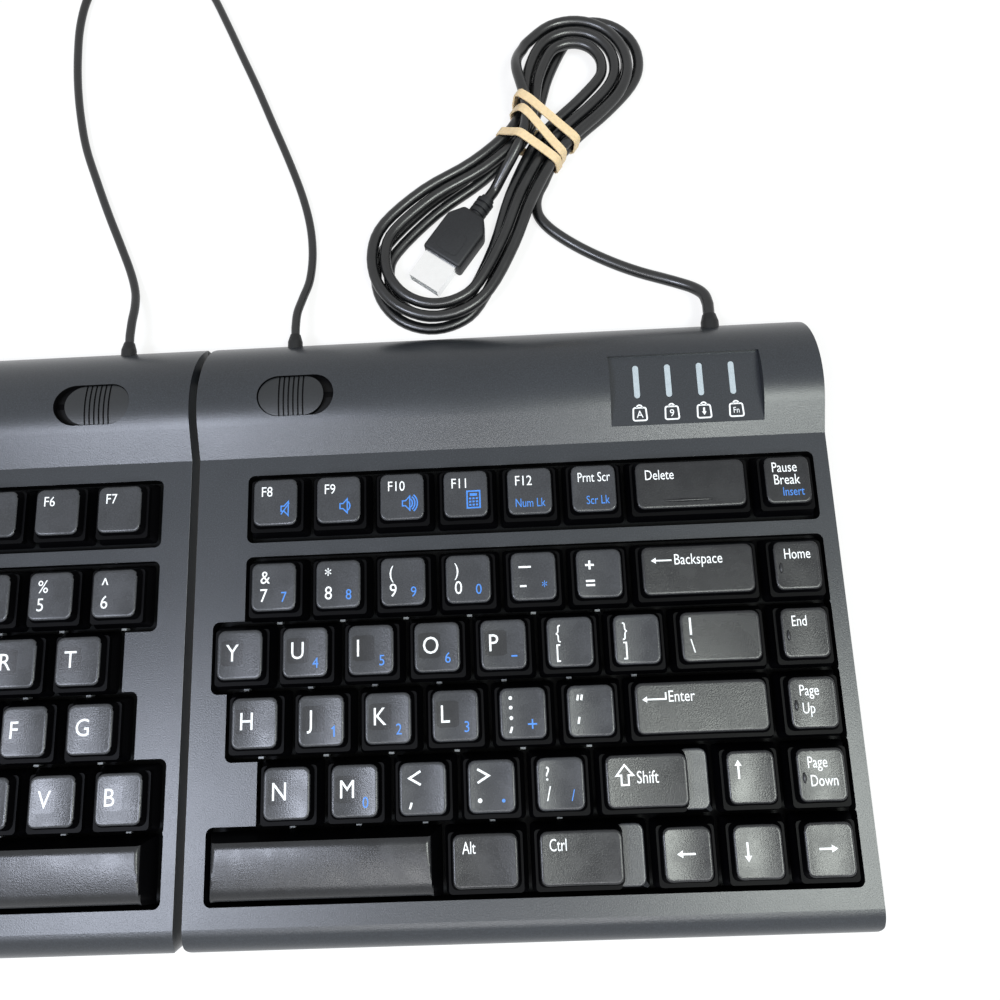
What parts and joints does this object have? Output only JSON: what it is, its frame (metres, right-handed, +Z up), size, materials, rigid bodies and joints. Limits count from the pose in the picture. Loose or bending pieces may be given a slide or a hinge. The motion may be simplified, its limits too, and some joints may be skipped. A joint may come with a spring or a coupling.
{
  "type": "split keyboard",
  "caption": "Flat split computer keyboard in charcoal plastic with sculpted keys, two release sliders, a pivoting tether, a link cord and a cord folded into a banded hank.",
  "frame": {"origin": "on the desk midway between the two halves, centred from front edge to back edge", "axes": "+X to the typist's right, +Y to the back, +Z up"},
  "size_m": [0.3888, 0.3486, 0.0224],
  "materials": {
    "case_plastic": "fine moulded texture, satin",
    "base_plastic": "plain moulded",
    "key_plastic": "satin, worn smooth on top",
    "slider_plastic": "plain moulded with grip grooves",
    "plate_plastic": "plain moulded",
    "dome_rubber": "soft translucent",
    "membrane_film": "clear film",
    "foot_rubber": "matt",
    "screw_steel": "zinc plated",
    "light_pipe": "frosted clear",
    "board": "green resist",
    "cord_vinyl": "smooth satin vinyl",
    "plug_body": "fine moulded texture",
    "plug_metal": "bright nickel plate",
    "plug_tongue": "plain moulded",
    "band_rubber": "matt natural rubber"
  },
  "bodies": {
    "right_half": {"right_top_case": "case_plastic", "right_base": "base_plastic", "right_key_plate": "plate_plastic", "right_dome_sheet": "dome_rubber", "right_membrane": "membrane_film", "right_feet": "foot_rubber", "right_screws": "screw_steel", "light_pipes": "light_pipe", "controller_board": "board", "tether_link": "base_plastic", "right_link_relief": "cord_vinyl", "usb_relief": "cord_vinyl", "link_cord": "cord_vinyl", "usb_lead": "cord_vinyl", "usb_hank": "cord_vinyl", "usb_plug": "plug_body", "plug_shell": "plug_metal", "plug_tongue": "plug_tongue", "rubber_band": "band_rubber"},
    "left_half": {"left_top_case": "case_plastic", "left_base": "base_plastic", "left_key_plate": "plate_plastic", "left_dome_sheet": "dome_rubber", "left_membrane": "membrane_film", "left_feet": "foot_rubber", "left_screws": "screw_steel", "left_link_relief": "cord_vinyl"},
    "right_slider": {"right_release_slider": "slider_plastic"},
    "left_slider": {"left_release_slider": "slider_plastic"},
    "right_function_keys_body": {"right_function_keys": "key_plastic"},
    "right_number_keys_body": {"right_number_keys": "key_plastic"},
    "right_top_letters_body": {"right_top_letters": "key_plastic"},
    "right_home_letters_body": {"right_home_letters": "key_plastic"},
    "right_bottom_letters_body": {"right_bottom_letters": "key_plastic"},
    "delete_key_body": {"delete_key": "key_plastic"},
    "backspace_key_body": {"backspace_key": "key_plastic"},
    "backslash_key_body": {"backslash_key": "key_plastic"},
    "enter_key_body": {"enter_key": "key_plastic"},
    "right_shift_key_body": {"right_shift_key": "key_plastic"},
    "right_ctrl_key_body": {"right_ctrl_key": "key_plastic"},
    "right_alt_key_body": {"right_alt_key": "key_plastic"},
    "right_space_bar_body": {"right_space_bar": "key_plastic"},
    "pause_key_body": {"pause_key": "key_plastic"},
    "home_key_body": {"home_key": "key_plastic"},
    "end_key_body": {"end_key": "key_plastic"},
    "page_up_key_body": {"page_up_key": "key_plastic"},
    "page_down_key_body": {"page_down_key": "key_plastic"},
    "up_arrow_key_body": {"up_arrow_key": "key_plastic"},
    "left_arrow_key_body": {"left_arrow_key": "key_plastic"},
    "down_arrow_key_body": {"down_arrow_key": "key_plastic"},
    "right_arrow_key_body": {"right_arrow_key": "key_plastic"},
    "left_function_keys_body": {"left_function_keys": "key_plastic"},
    "hot_keys_body": {"hot_keys": "key_plastic"},
    "left_number_keys_body": {"left_number_keys": "key_plastic"},
    "left_top_letters_body": {"left_top_letters": "key_plastic"},
    "left_home_letters_body": {"left_home_letters": "key_plastic"},
    "left_bottom_letters_body": {"left_bottom_letters": "key_plastic"},
    "left_edge_keys_body": {"left_edge_keys": "key_plastic"},
    "left_modifier_keys_body": {"left_modifier_keys": "key_plastic"},
    "left_space_bar_body": {"left_space_bar": "key_plastic"}
  },
  "joints": [
    {"name": "splay_hinge", "type": "hinge", "parent": "right_half", "child": "left_half", "pos_m": [-0.00875, 0.0812, 0.005], "axis": [0, 0, -1], "range_deg": [0, 20], "deforming": ["link_cord"]},
    {"name": "right_release_slide", "type": "slide", "parent": "right_half", "child": "right_slider", "axis": [1, 0, 0], "range_m": [0, 0.003], "stiffness_N_per_m": 200, "springref_m": -0.003},
    {"name": "left_release_slide", "type": "slide", "parent": "left_half", "child": "left_slider", "axis": [-1, 0, 0], "range_m": [0, 0.003], "stiffness_N_per_m": 200, "springref_m": -0.003},
    {"name": "right_function_keys_press", "type": "slide", "parent": "right_half", "child": "right_function_keys_body", "axis": [0, 0, -1], "range_m": [0, 0.0035], "stiffness_N_per_m": 150, "springref_m": -0.002, "deforming": ["right_dome_sheet"]},
    {"name": "right_number_keys_press", "type": "slide", "parent": "right_half", "child": "right_number_keys_body", "axis": [0, 0, -1], "range_m": [0, 0.0035], "stiffness_N_per_m": 150, "springref_m": -0.002, "deforming": ["right_dome_sheet"]},
    {"name": "right_top_letters_press", "type": "slide", "parent": "right_half", "child": "right_top_letters_body", "axis": [0, 0, -1], "range_m": [0, 0.0035], "stiffness_N_per_m": 150, "springref_m": -0.002, "deforming": ["right_dome_sheet"]},
    {"name": "right_home_letters_press", "type": "slide", "parent": "right_half", "child": "right_home_letters_body", "axis": [0, 0, -1], "range_m": [0, 0.0035], "stiffness_N_per_m": 150, "springref_m": -0.002, "deforming": ["right_dome_sheet"]},
    {"name": "right_bottom_letters_press", "type": "slide", "parent": "right_half", "child": "right_bottom_letters_body", "axis": [0, 0, -1], "range_m": [0, 0.0035], "stiffness_N_per_m": 150, "springref_m": -0.002, "deforming": ["right_dome_sheet"]},
    {"name": "delete_key_press", "type": "slide", "parent": "right_half", "child": "delete_key_body", "axis": [0, 0, -1], "range_m": [0, 0.0035], "stiffness_N_per_m": 150, "springref_m": -0.002, "deforming": ["right_dome_sheet"]},
    {"name": "backspace_key_press", "type": "slide", "parent": "right_half", "child": "backspace_key_body", "axis": [0, 0, -1], "range_m": [0, 0.0035], "stiffness_N_per_m": 150, "springref_m": -0.002, "deforming": ["right_dome_sheet"]},
    {"name": "backslash_key_press", "type": "slide", "parent": "right_half", "child": "backslash_key_body", "axis": [0, 0, -1], "range_m": [0, 0.0035], "stiffness_N_per_m": 150, "springref_m": -0.002, "deforming": ["right_dome_sheet"]},
    {"name": "enter_key_press", "type": "slide", "parent": "right_half", "child": "enter_key_body", "axis": [0, 0, -1], "range_m": [0, 0.0035], "stiffness_N_per_m": 150, "springref_m": -0.002, "deforming": ["right_dome_sheet"]},
    {"name": "right_shift_key_press", "type": "slide", "parent": "right_half", "child": "right_shift_key_body", "axis": [0, 0, -1], "range_m": [0, 0.0035], "stiffness_N_per_m": 150, "springref_m": -0.002, "deforming": ["right_dome_sheet"]},
    {"name": "right_ctrl_key_press", "type": "slide", "parent": "right_half", "child": "right_ctrl_key_body", "axis": [0, 0, -1], "range_m": [0, 0.0035], "stiffness_N_per_m": 150, "springref_m": -0.002, "deforming": ["right_dome_sheet"]},
    {"name": "right_alt_key_press", "type": "slide", "parent": "right_half", "child": "right_alt_key_body", "axis": [0, 0, -1], "range_m": [0, 0.0035], "stiffness_N_per_m": 150, "springref_m": -0.002, "deforming": ["right_dome_sheet"]},
    {"name": "right_space_bar_press", "type": "slide", "parent": "right_half", "child": "right_space_bar_body", "axis": [0, 0, -1], "range_m": [0, 0.0035], "stiffness_N_per_m": 150, "springref_m": -0.002, "deforming": ["right_dome_sheet"]},
    {"name": "pause_key_press", "type": "slide", "parent": "right_half", "child": "pause_key_body", "axis": [0, 0, -1], "range_m": [0, 0.0035], "stiffness_N_per_m": 150, "springref_m": -0.002, "deforming": ["right_dome_sheet"]},
    {"name": "home_key_press", "type": "slide", "parent": "right_half", "child": "home_key_body", "axis": [0, 0, -1], "range_m": [0, 0.0035], "stiffness_N_per_m": 150, "springref_m": -0.002, "deforming": ["right_dome_sheet"]},
    {"name": "end_key_press", "type": "slide", "parent": "right_half", "child": "end_key_body", "axis": [0, 0, -1], "range_m": [0, 0.0035], "stiffness_N_per_m": 150, "springref_m": -0.002, "deforming": ["right_dome_sheet"]},
    {"name": "page_up_key_press", "type": "slide", "parent": "right_half", "child": "page_up_key_body", "axis": [0, 0, -1], "range_m": [0, 0.0035], "stiffness_N_per_m": 150, "springref_m": -0.002, "deforming": ["right_dome_sheet"]},
    {"name": "page_down_key_press", "type": "slide", "parent": "right_half", "child": "page_down_key_body", "axis": [0, 0, -1], "range_m": [0, 0.0035], "stiffness_N_per_m": 150, "springref_m": -0.002, "deforming": ["right_dome_sheet"]},
    {"name": "up_arrow_key_press", "type": "slide", "parent": "right_half", "child": "up_arrow_key_body", "axis": [0, 0, -1], "range_m": [0, 0.0035], "stiffness_N_per_m": 150, "springref_m": -0.002, "deforming": ["right_dome_sheet"]},
    {"name": "left_arrow_key_press", "type": "slide", "parent": "right_half", "child": "left_arrow_key_body", "axis": [0, 0, -1], "range_m": [0, 0.0035], "stiffness_N_per_m": 150, "springref_m": -0.002, "deforming": ["right_dome_sheet"]},
    {"name": "down_arrow_key_press", "type": "slide", "parent": "right_half", "child": "down_arrow_key_body", "axis": [0, 0, -1], "range_m": [0, 0.0035], "stiffness_N_per_m": 150, "springref_m": -0.002, "deforming": ["right_dome_sheet"]},
    {"name": "right_arrow_key_press", "type": "slide", "parent": "right_half", "child": "right_arrow_key_body", "axis": [0, 0, -1], "range_m": [0, 0.0035], "stiffness_N_per_m": 150, "springref_m": -0.002, "deforming": ["right_dome_sheet"]},
    {"name": "left_function_keys_press", "type": "slide", "parent": "left_half", "child": "left_function_keys_body", "axis": [0, 0, -1], "range_m": [0, 0.0035], "stiffness_N_per_m": 150, "springref_m": -0.002, "deforming": ["left_dome_sheet"]},
    {"name": "hot_keys_press", "type": "slide", "parent": "left_half", "child": "hot_keys_body", "axis": [0, 0, -1], "range_m": [0, 0.0035], "stiffness_N_per_m": 150, "springref_m": -0.002, "deforming": ["left_dome_sheet"]},
    {"name": "left_number_keys_press", "type": "slide", "parent": "left_half", "child": "left_number_keys_body", "axis": [0, 0, -1], "range_m": [0, 0.0035], "stiffness_N_per_m": 150, "springref_m": -0.002, "deforming": ["left_dome_sheet"]},
    {"name": "left_top_letters_press", "type": "slide", "parent": "left_half", "child": "left_top_letters_body", "axis": [0, 0, -1], "range_m": [0, 0.0035], "stiffness_N_per_m": 150, "springref_m": -0.002, "deforming": ["left_dome_sheet"]},
    {"name": "left_home_letters_press", "type": "slide", "parent": "left_half", "child": "left_home_letters_body", "axis": [0, 0, -1], "range_m": [0, 0.0035], "stiffness_N_per_m": 150, "springref_m": -0.002, "deforming": ["left_dome_sheet"]},
    {"name": "left_bottom_letters_press", "type": "slide", "parent": "left_half", "child": "left_bottom_letters_body", "axis": [0, 0, -1], "range_m": [0, 0.0035], "stiffness_N_per_m": 150, "springref_m": -0.002, "deforming": ["left_dome_sheet"]},
    {"name": "left_edge_keys_press", "type": "slide", "parent": "left_half", "child": "left_edge_keys_body", "axis": [0, 0, -1], "range_m": [0, 0.0035], "stiffness_N_per_m": 150, "springref_m": -0.002, "deforming": ["left_dome_sheet"]},
    {"name": "left_modifier_keys_press", "type": "slide", "parent": "left_half", "child": "left_modifier_keys_body", "axis": [0, 0, -1], "range_m": [0, 0.0035], "stiffness_N_per_m": 150, "springref_m": -0.002, "deforming": ["left_dome_sheet"]},
    {"name": "left_space_bar_press", "type": "slide", "parent": "left_half", "child": "left_space_bar_body", "axis": [0, 0, -1], "range_m": [0, 0.0035], "stiffness_N_per_m": 150, "springref_m": -0.002, "deforming": ["left_dome_sheet"]}
  ]
}
